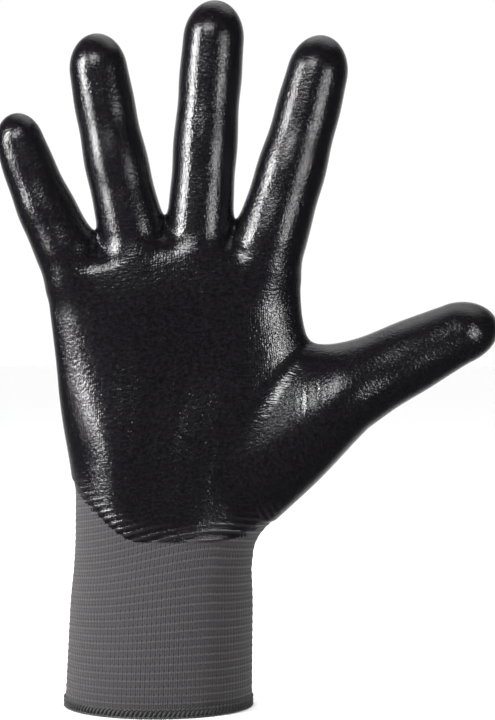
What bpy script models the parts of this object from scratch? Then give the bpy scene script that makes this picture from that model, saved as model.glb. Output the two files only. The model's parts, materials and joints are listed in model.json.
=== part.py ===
"""A palm-coated knitted work glove for the right hand.

Metres, +Z up. The origin is the middle of the cuff's opening, level with the hem's lower face.
The fingers point up, the palm faces -Y and the thumb is towards +X. The knitted liner, the
coating over it and the stretch rings where the fabric folds are separate solids, so that every
part of the hand can bend.
"""
import bpy
import bmesh
from math import cos, sin, tan, pi, radians
from mathutils import Matrix, Vector

# ---------------------------------------------------------------- driving dimensions
NAME = "work_glove"

WALL = 0.0009            # knitted liner
COAT_GAP = 0.0010        # room between the liner and the coating's solid
COAT = 0.0006            # coating
CLEAR = 0.0003           # gap between pieces that touch
EDGE = 0.00085           # half the shortest stretch ring, at the neutral side of a joint

WRIST_HEIGHT = 0.0480
WRIST_SHIFT = 0.0015     # the wrist lies a little towards the thumb from the hem
WRIST_HALF_WIDTH = 0.0320
WRIST_HALF_DEPTH = 0.0215
CUFF_HALF_WIDTH = 0.0325
CUFF_HALF_DEPTH = 0.0240
HEM_HEIGHT = 0.0035
HEM_THREAD = 0.0008      # thickness of the overlock seam around the knitted edge
ELASTIC_PITCH = 0.0024
ELASTIC_RADIUS = 0.00035
ELASTIC_ROOM = 1.2       # the yarn's corners stand out past its radius

# Where the palm's outer edge meets the little finger: x, and height above the wrist joint.
PINKY_EDGE = (-0.0439, 0.1108)
FINGER_GAP = 0.0008
WEB_HALF_DEPTH = 0.0050          # half the thickness of the hand between two fingers
KNUCKLE_SWELL = 0.0015           # how much deeper the hand is below the knuckles than a finger
DEPTH_SHARE = 0.86               # a finger's depth over its width
MIDDLE_JOINT_SHARE = 0.36        # where a finger's middle and tip joints are, along its length
TIP_JOINT_SHARE = 0.68
# name, lean to the thumb side in degrees, length, width at the root, width at the tip
FINGERS = (
    ("pinky", -22.5, 0.0503, 0.0234, 0.0174),
    ("ring", -11.3, 0.0694, 0.0242, 0.0208),
    ("middle", 4.3, 0.0786, 0.0238, 0.0218),
    ("index", 15.5, 0.0728, 0.0266, 0.0218),
)

THUMB_ROOT = (0.0683, -0.0050, 0.0652)   # the thumb's root joint, measured from the wrist joint
THUMB_RISE = 25.7                # degrees above level
THUMB_ROLL = 35.0                # degrees that the thumb's pad is turned towards the fingers
THUMB_LENGTH = 0.0558
THUMB_TIP_JOINT = 0.0260
THUMB_ROOT_WIDTH = 0.0320
THUMB_TIP_WIDTH = 0.0232
THUMB_HEEL_LENGTH = 0.0640       # how far the ball of the thumb reaches into the palm
THUMB_HEEL_DROP = 0.0140
THUMB_HEEL_SWELL = 0.0036
HEEL_SWELL_SPAN = 1.25           # the swelling ends at one part in this of the heel's length
HEEL_DROP_CURVE = 1.25           # how sharply the heel bends down towards the wrist

COAT_WRIST_EDGE = 0.0100         # the coating's lowest point, above the wrist joint
COAT_RISE_THUMB = 0.0070         # how much higher it ends at the two sides of the wrist
COAT_RISE_PINKY = 0.0220
COAT_WRAP = 25.0                 # degrees that the coating wraps past the sides of a finger
COAT_WRAP_STEPS = 3              # ring points that it wraps past the sides of the palm
COAT_EDGE_CURVE = 3              # how late the wrist edge rises towards its sides
COAT_FIRST_SHARE = 0.3           # the part of the hand's height that holds the wrist edge
LEAST_COAT_START = 0.01

WRIST_BEND = 40.0                # degrees, each way
ROOT_FLEX, ROOT_BACK = 60.0, 10.0
MIDDLE_FLEX, TIP_FLEX = 63.0, 37.8
THUMB_FLEX, THUMB_BACK, THUMB_TIP_FLEX = 50.0, 10.0, 60.0

FINGER_SIDES = 16
CUFF_SIDES = 20
ARC_STEPS = 6            # steps across each finger in the palm's rings
HAND_SHARES = (0.12, 0.24, 0.38, 0.54, 0.70, 0.84, 1.0)
HAND_FLARE = 1.3         # how late the hand widens from the wrist to the knuckles
HAND_THINNING = 0.8      # how early it grows thinner on the way
HAND_SQUARENESS = 0.7    # under 1, the hand's rings are flatter than an ellipse
SIDE_SHARPNESS = 9       # keeps the coating's sideways growth at the knuckles to their two ends
SHARP_ANGLE = 50.0
WELD = 0.00001
HEEL_STEPS = 5
DOME_STEPS = 3

COAT_OUT = COAT_GAP + COAT
FOLD_WALL = WALL + COAT_OUT
DEEP = 0.00025           # how far a cutting core stays inside the skin that it opens


# ---------------------------------------------------------------- scene and materials
def clear_scene():
    for old in list(bpy.data.objects):
        bpy.data.objects.remove(old, do_unlink=True)


def material(name, colour, roughness):
    made = bpy.data.materials.new(name)
    made.use_nodes = True
    shader = made.node_tree.nodes["Principled BSDF"]
    shader.inputs["Base Color"].default_value = (*colour, 1.0)
    shader.inputs["Roughness"].default_value = roughness
    shader.inputs["Metallic"].default_value = 0.0
    return made


def collection(name):
    made = bpy.data.collections.new(name)
    bpy.context.scene.collection.children.link(made)
    return made


def empty(name, parent, place, turn=None):
    """A parent empty with its X axis on a joint's axis."""
    made = bpy.data.objects.new(name, None)
    made.empty_display_size = 0.01
    PARTS.objects.link(made)
    made.parent = parent
    made.location = place
    if turn is not None:
        made.rotation_euler = turn.to_euler()
    return made


# ---------------------------------------------------------------- lofts
def loft(rings, around=True, pole=None):
    """An open surface through rings of points, outward for rings that run upwards.

    Every band has the same diagonals, so that skins over each other stay parallel.
    """
    bm = bmesh.new()
    made = [[bm.verts.new(p) for p in ring] for ring in rings]
    count = len(made[0])
    last = count if around else count - 1
    for low, high in zip(made, made[1:]):
        for k in range(last):
            n = (k + 1) % count
            bm.faces.new((low[k], low[n], high[n]))
            bm.faces.new((low[k], high[n], high[k]))
    if pole is not None:
        top = bm.verts.new(pole)
        for k in range(last):
            bm.faces.new((made[-1][k], made[-1][(k + 1) % count], top))
    return bm


def cap(bm, count):
    """Closes both ends of a loft with a fan of faces from its middle."""
    bm.verts.ensure_lookup_table()
    total = len(bm.verts)
    low = [bm.verts[k] for k in range(count)]
    high = [bm.verts[total - count + k] for k in range(count)]
    for ring, flip in ((low, True), (high, False)):
        middle = bm.verts.new(sum((v.co for v in ring), Vector()) / count)
        for k in range(count):
            a, b = ring[k], ring[(k + 1) % count]
            bm.faces.new((b, a, middle) if flip else (a, b, middle))


def piece(name, bm, parent, finish, thickness=0.0):
    """An object from a finished mesh, thickened inwards where it is an open surface."""
    mesh = bpy.data.meshes.new(name)
    bm.to_mesh(mesh)
    bm.free()
    mesh.materials.append(finish)
    mesh.shade_smooth()
    mesh.set_sharp_from_angle(angle=radians(SHARP_ANGLE))
    made = bpy.data.objects.new(name, mesh)
    PARTS.objects.link(made)
    made.parent = parent
    if thickness:
        skin = made.modifiers.new("thickness", "SOLIDIFY")
        skin.thickness = thickness
        skin.offset = -1.0
        skin.use_even_offset = True
    return made


def cutter(name, bm, parent):
    made = piece(name, bm, parent, KNIT)
    PARTS.objects.unlink(made)
    CUTTERS.objects.link(made)
    made.hide_render = True
    made.display_type = "WIRE"
    return made


def boolean(target, operation, other):
    step = target.modifiers.new(operation.lower(), "BOOLEAN")
    step.operation = operation
    step.solver = "EXACT"
    step.object = other


def mix(a, b, share):
    return a + (b - a) * share


def fold_room(y, flex, back):
    """How far a skin stays off a joint's plane, so that it bends flex palmwards and back."""
    if y < 0.0:
        return -y * tan(radians(flex) / 2)
    return y * tan(radians(back) / 2)


# ---------------------------------------------------------------- fingers
class Digit:
    """A finger or thumb: half-sizes along its length, and where and how far it bends."""

    def __init__(self, name, length, root_width, tip_width, joints, flexes, backs):
        self.name = name
        self.length = length
        self.root = root_width / 2 - COAT_OUT - CLEAR / 2
        self.tip = tip_width / 2 - COAT_OUT
        self.joints = joints
        self.flexes = flexes
        self.backs = backs

    def half_width(self, along):
        return mix(self.root, self.tip, min(along / (self.length - self.tip), 1.0))

    def ring(self, k, along, grow, angles, side=0.0):
        """A ring of the skin, in joint k's frame. side=+1 or -1 keeps it off joint along."""
        width = self.half_width(along) + grow
        depth = self.half_width(along) * DEPTH_SHARE + grow
        points = []
        for a in angles:
            x, y = width * cos(a), depth * sin(a)
            room = 0.0
            if side:
                j = self.joints.index(along)
                room = EDGE + fold_room(y, self.flexes[j], self.backs[j])
            points.append(Vector((x, y, along - self.joints[k] + side * room)))
        return points

    def fold_rings(self, k, grow, thickness, angles):
        """The two rings of the stretch ring on joint k, clear of it at their inner edge."""
        width = self.half_width(self.joints[k]) + grow
        depth = self.half_width(self.joints[k]) * DEPTH_SHARE + grow
        rings = []
        for side in (-1, 1):
            ring = []
            for a in angles:
                inner_y = (depth - thickness) * sin(a)
                room = EDGE - CLEAR + fold_room(inner_y, self.flexes[k], self.backs[k])
                ring.append(Vector((width * cos(a), depth * sin(a), side * room)))
            rings.append(ring)
        return rings

    def dome(self, grow, angles):
        """Rings that round off the tip, in the last joint's frame, and the pole above them."""
        base = self.length - self.tip - self.joints[-1]
        rings = []
        for step in range(DOME_STEPS):
            turn = step / DOME_STEPS * pi / 2
            width = (self.tip + grow) * cos(turn)
            depth = (self.tip * DEPTH_SHARE + grow) * cos(turn)
            height = base + (self.tip + grow) * sin(turn)
            rings.append([Vector((width * cos(a), depth * sin(a), height)) for a in angles])
        return rings, Vector((0.0, 0.0, base + self.tip + grow))


def round_angles(sides):
    return [2 * pi * k / sides for k in range(sides)]


def palm_angles():
    """Angles of the skin's palm side, from just past one side to just past the other."""
    wrap = radians(COAT_WRAP)
    steps = round(FINGER_SIDES * (pi + 2 * wrap) / (2 * pi))
    return [-pi - wrap + (pi + 2 * wrap) * k / steps for k in range(steps + 1)]


def digit_pieces(digit, frames):
    """The liner, coating and stretch rings of one digit, on the empties of its joints."""
    whole = round_angles(FINGER_SIDES)
    names = ("base", "middle", "tip") if len(digit.joints) == 3 else ("base", "tip")
    for k, segment in enumerate(names):
        label = f"{digit.name}_{segment}"
        here = digit.joints[k]
        fold = loft(digit.fold_rings(k, COAT_OUT, FOLD_WALL, whole))
        piece(f"{label}_stretch_ring", fold, frames[k], FOLD, FOLD_WALL)
        skins = (("knit", 0.0, WALL, KNIT), ("coating", COAT_OUT, COAT, RUBBER))
        for kind, grow, wall, finish in skins:
            partial = kind == "coating" and segment != "tip"
            angles = palm_angles() if partial else whole
            rings = [digit.ring(k, here, grow, angles, 1)]
            pole = None
            if segment == "tip":
                domes, pole = digit.dome(grow, angles)
                rings += domes
            else:
                rings.append(digit.ring(k, digit.joints[k + 1], grow, angles, -1))
            piece(f"{label}_{kind}", loft(rings, not partial, pole), frames[k], finish, wall)


# ---------------------------------------------------------------- hand
def finger_layout():
    """Each finger with its root's centre, side by side along the knuckles."""
    x = PINKY_EDGE[0]
    z = WRIST_HEIGHT + PINKY_EDGE[1]
    laid = []
    for name, lean, length, root_width, tip_width in FINGERS:
        turn = radians(lean)
        side = Vector((cos(turn), 0.0, -sin(turn)))
        centre = Vector((x, 0.0, z)) + side * root_width / 2
        joints = (0.0, MIDDLE_JOINT_SHARE * length, TIP_JOINT_SHARE * length)
        digit = Digit(name, length, root_width, tip_width, joints,
                      (ROOT_FLEX, MIDDLE_FLEX, TIP_FLEX), (ROOT_BACK, 0.0, 0.0))
        laid.append((digit, centre, Matrix.Rotation(turn, 3, "Y"), root_width / 2))
        step = side * (root_width + FINGER_GAP)
        x, z = x + step.x, z + step.z
    return laid


def knuckle_ring(laid, grow):
    """The palm's top edge: scalloped around the finger roots, and kept off their joints."""
    count = 2 * ARC_STEPS * len(laid)
    ring = []
    for k in range(count):
        palm = -1 if k < count // 2 else 1
        across = k // ARC_STEPS if palm < 0 else 2 * len(laid) - 1 - k // ARC_STEPS
        digit, centre, turn, half = laid[across]
        a = pi * (k % ARC_STEPS) / ARC_STEPS
        depth = max(digit.root * DEPTH_SHARE * sin(a), WEB_HALF_DEPTH)
        if k % (count // 2) == 0:
            depth = 0.0
        out = 2 * pi * k / count
        x = palm * half * cos(a) - grow * cos(out) ** SIDE_SHARPNESS
        outer = depth + COAT_OUT if depth else 0.0
        room = EDGE + fold_room(palm * outer, ROOT_FLEX, ROOT_BACK)
        y = palm * (depth + grow) if depth else 0.0
        ring.append(centre + turn @ Vector((x, y, -room)))
    return ring


def wrist_point(angle, grow):
    """A point on the hand's lower edge, above the wrist joint."""
    x = (WRIST_HALF_WIDTH + grow) * cos(angle)
    y = (WRIST_HALF_DEPTH + grow) * sin(angle)
    lift = EDGE + abs(WRIST_HALF_DEPTH * sin(angle)) * tan(radians(WRIST_BEND) / 2)
    return Vector((WRIST_SHIFT + x, y, WRIST_HEIGHT + lift))


def hand_ring(laid, share, grow):
    """A ring of the hand between the wrist's joint (share 0) and the knuckles (share 1)."""
    top = knuckle_ring(laid, grow)
    count = len(top)
    ring = []
    for k in range(count):
        angle = -pi + 2 * pi * k / count
        low = wrist_point(angle, grow)
        high = top[k]
        x = mix(low.x, high.x, share ** HAND_FLARE)
        # The palm keeps its full depth between the fingers until close below the knuckles.
        palm = -1 if high.y < 0 else 1
        smooth = palm * (digit_depth(laid) + grow) * abs(sin(angle)) ** HAND_SQUARENESS
        y = mix(low.y, smooth, share ** HAND_THINNING) if share < 1.0 else high.y
        ring.append(Vector((x, y, mix(low.z, high.z, share))))
    return ring


def digit_depth(laid):
    """The hand's half-depth below the knuckles."""
    return max(digit.root for digit, _, _, _ in laid) * DEPTH_SHARE + KNUCKLE_SWELL


def hand_surface(laid, grow):
    return loft([hand_ring(laid, share, grow) for share in (0.0, *HAND_SHARES)])


def coat_start(laid, k, count, grow):
    """The share of the hand's height where the palm coating begins at ring point k.

    It stays a little above the hand's own lower edge, even where that rises past it.
    """
    angle = -pi + 2 * pi * k / count
    across = cos(angle)
    rise = COAT_RISE_THUMB if across > 0 else COAT_RISE_PINKY
    height = WRIST_HEIGHT + COAT_WRIST_EDGE + rise * abs(across) ** COAT_EDGE_CURVE
    low = hand_ring(laid, 0.0, grow)[k].z
    high = hand_ring(laid, 1.0, grow)[k].z
    return max((height - low) / (high - low), LEAST_COAT_START)


def palm_coat_surface(laid, grow):
    """The palm side of the hand's surface, above the coating's U-shaped wrist edge."""
    count = 2 * ARC_STEPS * len(laid)
    picked = [k % count for k in range(-COAT_WRAP_STEPS, count // 2 + COAT_WRAP_STEPS + 1)]
    shares = [share for share in HAND_SHARES if share > COAT_FIRST_SHARE]
    starts = {k: coat_start(laid, k, count, grow) for k in picked}
    rings = [[hand_ring(laid, mix(starts[k], shares[0], part), grow)[k] for k in picked]
             for part in (0.0, 0.5)]
    for share in shares:
        whole = hand_ring(laid, share, grow)
        rings.append([whole[k] for k in picked])
    return loft(rings, around=False)


# ---------------------------------------------------------------- thumb
def thumb_frame():
    """The thumb's turn: Z along the thumb, -Y out of its pad, X its bending axis."""
    rise = Matrix.Rotation(radians(90.0 - THUMB_RISE), 3, "Y")
    return rise @ Matrix.Rotation(-radians(THUMB_ROLL), 3, "Z")


def heel_ring(thumb, step, grow, angles):
    """A ring of the ball of the thumb, from deep in the palm (step 0) to the root joint."""
    share = 1.0 - step / HEEL_STEPS
    level = Matrix.Rotation(radians(90.0 - THUMB_RISE), 3, "Y")
    down = thumb_frame().inverted() @ level @ Vector((1.0, 0.0, 0.0))
    half = thumb.root + THUMB_HEEL_SWELL * sin(pi * min(share * HEEL_SWELL_SPAN, 1.0))
    ring = []
    for a in angles:
        x = (half + grow) * cos(a)
        y = (half * DEPTH_SHARE + grow) * sin(a)
        room = EDGE + fold_room(y, THUMB_FLEX, THUMB_BACK)
        along = -room * (1.0 - share) - THUMB_HEEL_LENGTH * share
        ring.append(Vector((x, y, along)) + down * THUMB_HEEL_DROP * share ** HEEL_DROP_CURVE)
    return ring


def heel_surface(thumb, grow, angles, around=True):
    return loft([heel_ring(thumb, step, grow, angles) for step in range(HEEL_STEPS + 1)], around)


def join_thumb(name, hand_bm, heel_bm, thumb, inner, wall, finish, wrist, thumb_root, laid):
    """The hand's skin with the ball of the thumb grown into it, open between the two."""
    hand = piece(name, hand_bm, wrist, finish, wall)
    heel = piece(f"{name}_heel", heel_bm, thumb_root, finish, wall)
    PARTS.objects.unlink(heel)
    CUTTERS.objects.link(heel)
    heel.hide_render = True
    heel.display_type = "WIRE"
    heel_core_bm = heel_surface(thumb, inner, round_angles(FINGER_SIDES))
    cap(heel_core_bm, FINGER_SIDES)
    heel_core = cutter(f"{name}_heel_core", heel_core_bm, thumb_root)
    hand_core_bm = hand_surface(laid, inner)
    cap(hand_core_bm, 2 * ARC_STEPS * len(laid))
    hand_core = cutter(f"{name}_hand_core", hand_core_bm, wrist)
    boolean(heel, "DIFFERENCE", hand_core)
    boolean(hand, "DIFFERENCE", heel_core)
    boolean(hand, "UNION", heel)
    return hand


# ---------------------------------------------------------------- cuff
def cuff_ring(height, grow):
    """A level ring of the cuff."""
    share = height / WRIST_HEIGHT
    width = mix(CUFF_HALF_WIDTH, WRIST_HALF_WIDTH, share) + grow
    depth = mix(CUFF_HALF_DEPTH, WRIST_HALF_DEPTH, share) + grow
    centre = WRIST_SHIFT * share
    return [Vector((centre + width * cos(a), depth * sin(a), height))
            for a in round_angles(CUFF_SIDES)]


def wrist_ring(grow, side, room, thickness=0.0):
    """A ring at the wrist, above (side=1) or below its joint, clear of it by room."""
    ring = cuff_ring(WRIST_HEIGHT, grow)
    inner = (WRIST_HALF_DEPTH + grow - thickness) / (WRIST_HALF_DEPTH + grow)
    for point in ring:
        point.z += side * (room + abs(point.y) * inner * tan(radians(WRIST_BEND) / 2))
    return ring


def cuff_pieces(base):
    foot = HEM_THREAD + CLEAR
    rings = [cuff_ring(foot, 0.0), cuff_ring(WRIST_HEIGHT / 2, 0.0), wrist_ring(0.0, -1, EDGE)]
    piece("cuff_knit", loft(rings), base, KNIT, WALL)
    rings = [wrist_ring(0.0, side, EDGE - CLEAR, WALL) for side in (-1, 1)]
    piece("wrist_stretch_ring", loft(rings), base, KNIT, WALL)
    hem_piece(base)
    elastic_piece(base)


def hem_piece(base):
    """The overlock seam: a band with a slot from above for the knitted edge."""
    out = CLEAR + HEM_THREAD
    inner = -WALL - CLEAR
    stops = ((0.0, out), (HEM_HEIGHT, out), (HEM_HEIGHT, CLEAR), (HEM_THREAD, CLEAR),
             (HEM_THREAD, inner), (HEM_HEIGHT, inner), (HEM_HEIGHT, inner - HEM_THREAD),
             (0.0, inner - HEM_THREAD))
    rings = [cuff_ring(height, grow) for height, grow in stops]
    rings.append(rings[0])
    bm = loft(rings)
    bmesh.ops.remove_doubles(bm, verts=bm.verts[:], dist=WELD)
    piece("cuff_hem", bm, base, THREAD)


def elastic_piece(base):
    """One elastic yarn wound up the inside of the cuff, a turn to every elastic course."""
    start = HEM_HEIGHT + ELASTIC_PITCH
    front = (WRIST_HALF_DEPTH + COAT_OUT) * tan(radians(WRIST_BEND) / 2)
    end = WRIST_HEIGHT - EDGE - front - ELASTIC_PITCH
    turns = int((end - start) / ELASTIC_PITCH)
    inside = -WALL - CLEAR - ELASTIC_RADIUS * ELASTIC_ROOM
    curve = bpy.data.curves.new("cuff_elastic_yarn", "CURVE")
    curve.dimensions = "3D"
    curve.bevel_depth = ELASTIC_RADIUS
    curve.bevel_resolution = 0
    curve.use_fill_caps = True
    line = curve.splines.new("POLY")
    total = turns * CUFF_SIDES + 1
    line.points.add(total - 1)
    for k in range(total):
        height = start + ELASTIC_PITCH * k / CUFF_SIDES
        spot = cuff_ring(height, inside)[k % CUFF_SIDES]
        line.points[k].co = (*spot, 1.0)
    curve.materials.append(ELASTIC)
    yarn = bpy.data.objects.new("cuff_elastic_yarn", curve)
    PARTS.objects.link(yarn)
    yarn.parent = base


# ---------------------------------------------------------------- assembly
def build():
    base = empty("glove", None, (0.0, 0.0, 0.0))
    wrist_place = Vector((0.0, 0.0, WRIST_HEIGHT))
    wrist = empty("wrist_joint", base, wrist_place)
    wrist_frame = empty("hand_frame", wrist, -wrist_place)
    cuff_pieces(base)
    laid = finger_layout()
    for digit, centre, turn, _ in laid:
        frames = [empty(f"{digit.name}_base_joint", wrist_frame, centre, turn)]
        for k, segment in ((1, "middle"), (2, "tip")):
            place = (0.0, 0.0, digit.joints[k] - digit.joints[k - 1])
            frames.append(empty(f"{digit.name}_{segment}_joint", frames[-1], place))
        digit_pieces(digit, frames)
    thumb = Digit("thumb", THUMB_LENGTH, THUMB_ROOT_WIDTH, THUMB_TIP_WIDTH,
                  (0.0, THUMB_TIP_JOINT), (THUMB_FLEX, THUMB_TIP_FLEX), (THUMB_BACK, 0.0))
    root = empty("thumb_base_joint", wrist_frame, wrist_place + Vector(THUMB_ROOT), thumb_frame())
    tip = empty("thumb_tip_joint", root, (0.0, 0.0, THUMB_TIP_JOINT))
    digit_pieces(thumb, [root, tip])
    join_thumb("hand_knit", hand_surface(laid, 0.0),
               heel_surface(thumb, 0.0, round_angles(FINGER_SIDES)),
               thumb, -WALL - DEEP, WALL, KNIT, wrist_frame, root, laid)
    join_thumb("palm_coating", palm_coat_surface(laid, COAT_OUT),
               heel_surface(thumb, COAT_OUT, palm_angles(), False),
               thumb, COAT_GAP - DEEP, COAT, RUBBER, wrist_frame, root, laid)


clear_scene()
PARTS = collection(NAME)
CUTTERS = collection("cutters")
KNIT = material("grey_knit", (0.14, 0.127, 0.135), 0.9)
FOLD = material("coated_knit", (0.02, 0.02, 0.021), 0.5)
RUBBER = material("black_coating", (0.01, 0.01, 0.011), 0.35)
THREAD = material("overlock_thread", (0.012, 0.012, 0.014), 0.8)
ELASTIC = material("elastic_yarn", (0.3, 0.29, 0.29), 0.7)
build()
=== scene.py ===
"""The looks of a palm-coated knitted work glove.

One smooth skin is grown around the CAD hand from a distance field. It is divided at the wrist
and in the middle of each finger bone, so that every piece spans one joint. The coating
is a second skin just over the first, whose edge sinks into the knit.
"""
import json
from math import atan2, pi, radians

import bpy
import numpy as np
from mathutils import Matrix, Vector


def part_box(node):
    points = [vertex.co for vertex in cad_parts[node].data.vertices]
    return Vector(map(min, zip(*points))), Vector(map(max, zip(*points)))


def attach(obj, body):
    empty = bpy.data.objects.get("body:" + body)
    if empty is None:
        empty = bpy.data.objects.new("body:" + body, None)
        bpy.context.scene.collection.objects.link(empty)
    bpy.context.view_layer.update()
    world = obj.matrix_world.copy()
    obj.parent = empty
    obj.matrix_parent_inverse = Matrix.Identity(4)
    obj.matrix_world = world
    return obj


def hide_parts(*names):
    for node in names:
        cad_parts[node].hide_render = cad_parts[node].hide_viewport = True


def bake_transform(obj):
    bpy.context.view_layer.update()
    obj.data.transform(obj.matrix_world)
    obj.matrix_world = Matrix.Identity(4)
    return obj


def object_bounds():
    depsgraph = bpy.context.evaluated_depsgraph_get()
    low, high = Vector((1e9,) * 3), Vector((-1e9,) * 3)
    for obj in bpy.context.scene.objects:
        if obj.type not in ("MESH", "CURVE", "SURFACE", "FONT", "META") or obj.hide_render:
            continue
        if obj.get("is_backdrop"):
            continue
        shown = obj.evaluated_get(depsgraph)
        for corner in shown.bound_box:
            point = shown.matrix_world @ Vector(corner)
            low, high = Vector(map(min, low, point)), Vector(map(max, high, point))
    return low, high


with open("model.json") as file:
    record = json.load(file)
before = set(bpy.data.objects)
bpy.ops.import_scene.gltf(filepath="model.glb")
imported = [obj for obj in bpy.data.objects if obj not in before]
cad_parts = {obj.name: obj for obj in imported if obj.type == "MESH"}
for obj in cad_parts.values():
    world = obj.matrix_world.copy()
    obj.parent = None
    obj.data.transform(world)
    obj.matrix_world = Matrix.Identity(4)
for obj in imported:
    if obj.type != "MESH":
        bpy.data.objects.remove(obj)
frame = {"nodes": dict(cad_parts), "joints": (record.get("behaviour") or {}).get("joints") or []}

CAD_LOW, CAD_HIGH = (np.array(corner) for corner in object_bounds())
MM = 0.001

VOXEL = 1.0 * MM                 # spacing of the skin's grid
GRID_MARGIN = 3 * MM             # how far the grid goes beyond the CAD hand
GRID_BELOW = 22 * MM             # how far it goes below the join of cuff and back
STEP_LIMIT = 2 * MM              # the longest move of a point onto the skin at a time
KNIT_WALL = 0.9 * MM
COAT_LIFT = 0.45 * MM            # how far the coating stands over the knit
COAT_SINK = 0.30 * MM            # how far its edge goes into the knit
COAT_EDGE = 1.4 * MM             # width of the coating's thinning edge
COAT_START = 0.4 * COAT_EDGE     # how far outside its line the coating begins to rise
COAT_RIM = 0.8 * COAT_EDGE       # how far outside its line the sunk rim ends
COAT_WALL = COAT_LIFT * 0.8
UNDERLAP = 3.0 * MM              # how far the knit goes on under the coating
COURSE = 2.4 * MM                # from one elastic course to the next
COURSE_ROWS = 5                  # rows of points to a course
WALE = 1.3 * MM
WALE_POINTS = 3                  # points to a wale
CUFF_PROUD = 0.3 * MM            # how far the cuff stands over the hand's line
PROUD_ENDS = (34 * MM, 62 * MM)  # heights between which the cuff's knit goes down under the back's
JOIN_OVERLAP = 3.0 * MM          # how far the cuff's knit runs up under the back's
COURSE_RELIEF = 0.16 * MM        # how far an elastic course stands out
RIB_RELIEF = 0.07 * MM           # how far a wale's rib stands out
RELIEF_BASE = 0.08 * MM
ELASTIC_WIDTH = 0.16             # of an elastic course, over the distance between courses
RELIEF_FADE = (10 * MM, 2 * MM)  # below the join, between which the relief fades out
CUFF_START = 1.0 * MM            # how far above the hem's lower face the cuff's knit begins
CUFF_INSET = 0.04 * MM           # how far the cuff's knit lies under its own line
TUCK = 0.3 * MM                  # how much deeper it lies under the back's knit
TUCK_ENDS = (0.5 * MM, 2 * MM)   # above the join, between which it goes that deep

COURSE_RISE = 7.4 * MM           # how much the courses rise from the little finger's side
COURSE_FALL = 1.2 * MM           # how much they fall again at the thumb's side
EDGE_RISE = 22.5 * MM            # how much the coating's edge rises at the little finger's side
EDGE_RISE_THUMB = 7 * MM         # how much it rises at the thumb's side
COAT_WRAP = 4.2 * MM             # how far the coating goes round the sides towards the back
COAT_WRAP_LESS = 3.2 * MM        # how much less it goes round the thumb
THIN_COAT = 9 * MM               # how far in from its edge the coating is thin
EDGE_WAVE_X = (0.5 * MM, 3.1 * MM)   # height and length of the edge's waves across the hand
EDGE_WAVE_Z = (0.4 * MM, 4.3 * MM)   # and along it
THUMB_REACH = (-4 * MM, 6 * MM)  # nearness to the thumb, over which its own wrap takes over
TIP_NEAR = 3 * MM                # how near a digit the coating goes round its tip
TIP_COAT = 1.7                   # how far down it goes round the tip, over the tip's half-width

FINGER_ROUND = 3.4 * MM          # rounding between the fingers and the palm
THUMB_ROUND = 8.5 * MM           # rounding between the thumb and the palm
KNUCKLE_ROUND = 11 * MM          # rounding of the palm's top edge
KNUCKLE_OVER = 3.5 * MM          # how far below the finger roots the palm's top edge is
HEEL_PAD = 2.4 * MM              # swelling of the palm's heel at the little finger's side
PALM_HOLLOW = 2.0 * MM
KNUCKLE_PAD = 1.0 * MM           # swelling of the palm below the fingers
JOINT_SWELL = 0.018              # share by which a digit is wider at a joint
JOINT_WAIST = 0.020              # share by which it is narrower before the joint
TIP_PAD = 0.06                   # bulge of a fingertip's pad, over its half-width

DIGIT_GAIN = 1.5 * MM            # how much nearer a finger counts where it meets the palm
THUMB_PIECE = 1.6                # radius of the thumb's pieces, over its half-width at the root
WEB_STEPS = (-4 * MM, 20 * MM, 0.5 * MM)   # where along a finger its webs are looked for
WEB_BESIDE = 0.4 * MM            # how far beside the finger
WEB_NEAR = 4 * MM                # how near the next finger has to be
ABOVE_WEB = 1.5 * MM             # from the web up to the first piece of a finger
LEAST_PIECE = 7 * MM             # the shortest piece of a digit
BLEND_MARGIN = 1.3 * MM          # length at a piece's ends left out of its bending span
BLEND_REACH = 9 * MM             # length of the bending span worked out at a root joint
BLEND_ROOM = 7 * MM              # half the length of the bending span worked out at a finger's other joints

HEM_WALL = 1.9 * MM
HEM_LOOPS = 128
HEM_THREAD = 0.34 * MM           # radius of the overlock thread
HEM_CORE = 0.62 * MM             # half the thickness of the folded knit inside the hem
ELASTIC_RADIUS = 0.3 * MM
ELASTIC_INSET = 0.75 * MM        # from the knit's inner face to the elastic yarn's middle

# Palm creases: place across the palm, lean, depth, and where along the palm they are deepest.
CREASES = ((-0.42, 0.18, 0.10 * MM, 0.55), (-0.18, 0.10, 0.12 * MM, 0.66), (0.04, 0.02, 0.13 * MM, 0.48),
           (0.22, -0.08, 0.10 * MM, 0.72), (0.42, -0.2, 0.12 * MM, 0.60))
# Folds at the thumb's root: distance from its joint, slope across it, and depth.
THUMB_FOLDS = ((-5 * MM, -0.35, 0.10 * MM), (-10.5 * MM, -0.45, 0.22 * MM), (-16 * MM, -0.5, 0.24 * MM))

CAMERA_DISTANCE = 0.575
CAMERA_SIDE = 0.5 * MM           # how far the camera is off the middle, towards the thumb
CAMERA_LEVEL = 0.489             # its height, as a share of the glove's
HALF_FRAME = 0.512               # half of what it sees, as a share of the glove's height
FLOOR_SIZE = 60.0
SUN_POWER = 3.1
SUN_WIDTH = 75                   # degrees
# Softboxes: name, place, size and power, all turned to the glove's middle.
SOFTBOXES = (("left_strip", (-0.74, -0.43, 0.40), (0.09, 0.50), 17.0),
             ("right_box", (0.50, -0.62, 0.21), (0.10, 0.22), 2.6),
             ("front_top_box", (-0.24, -0.70, 0.62), (0.26, 0.14), 4.0),
             ("top_box", (0.15, 0.25, 1.0), (0.9, 0.6), 3.0))

JOINTS = {j["name"]: j for j in frame["joints"]}


def node_points(name):
    """A CAD node's vertices, in metres."""
    mesh = frame["nodes"][name].data
    points = np.empty(len(mesh.vertices) * 3)
    mesh.vertices.foreach_get("co", points)
    return points.reshape(-1, 3)


def unit(v):
    v = np.asarray(v, float)
    return v / np.linalg.norm(v)


def smoothstep(x, low, high):
    t = np.clip((x - low) / (high - low), 0.0, 1.0)
    return t * t * (3 - 2 * t)


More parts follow.
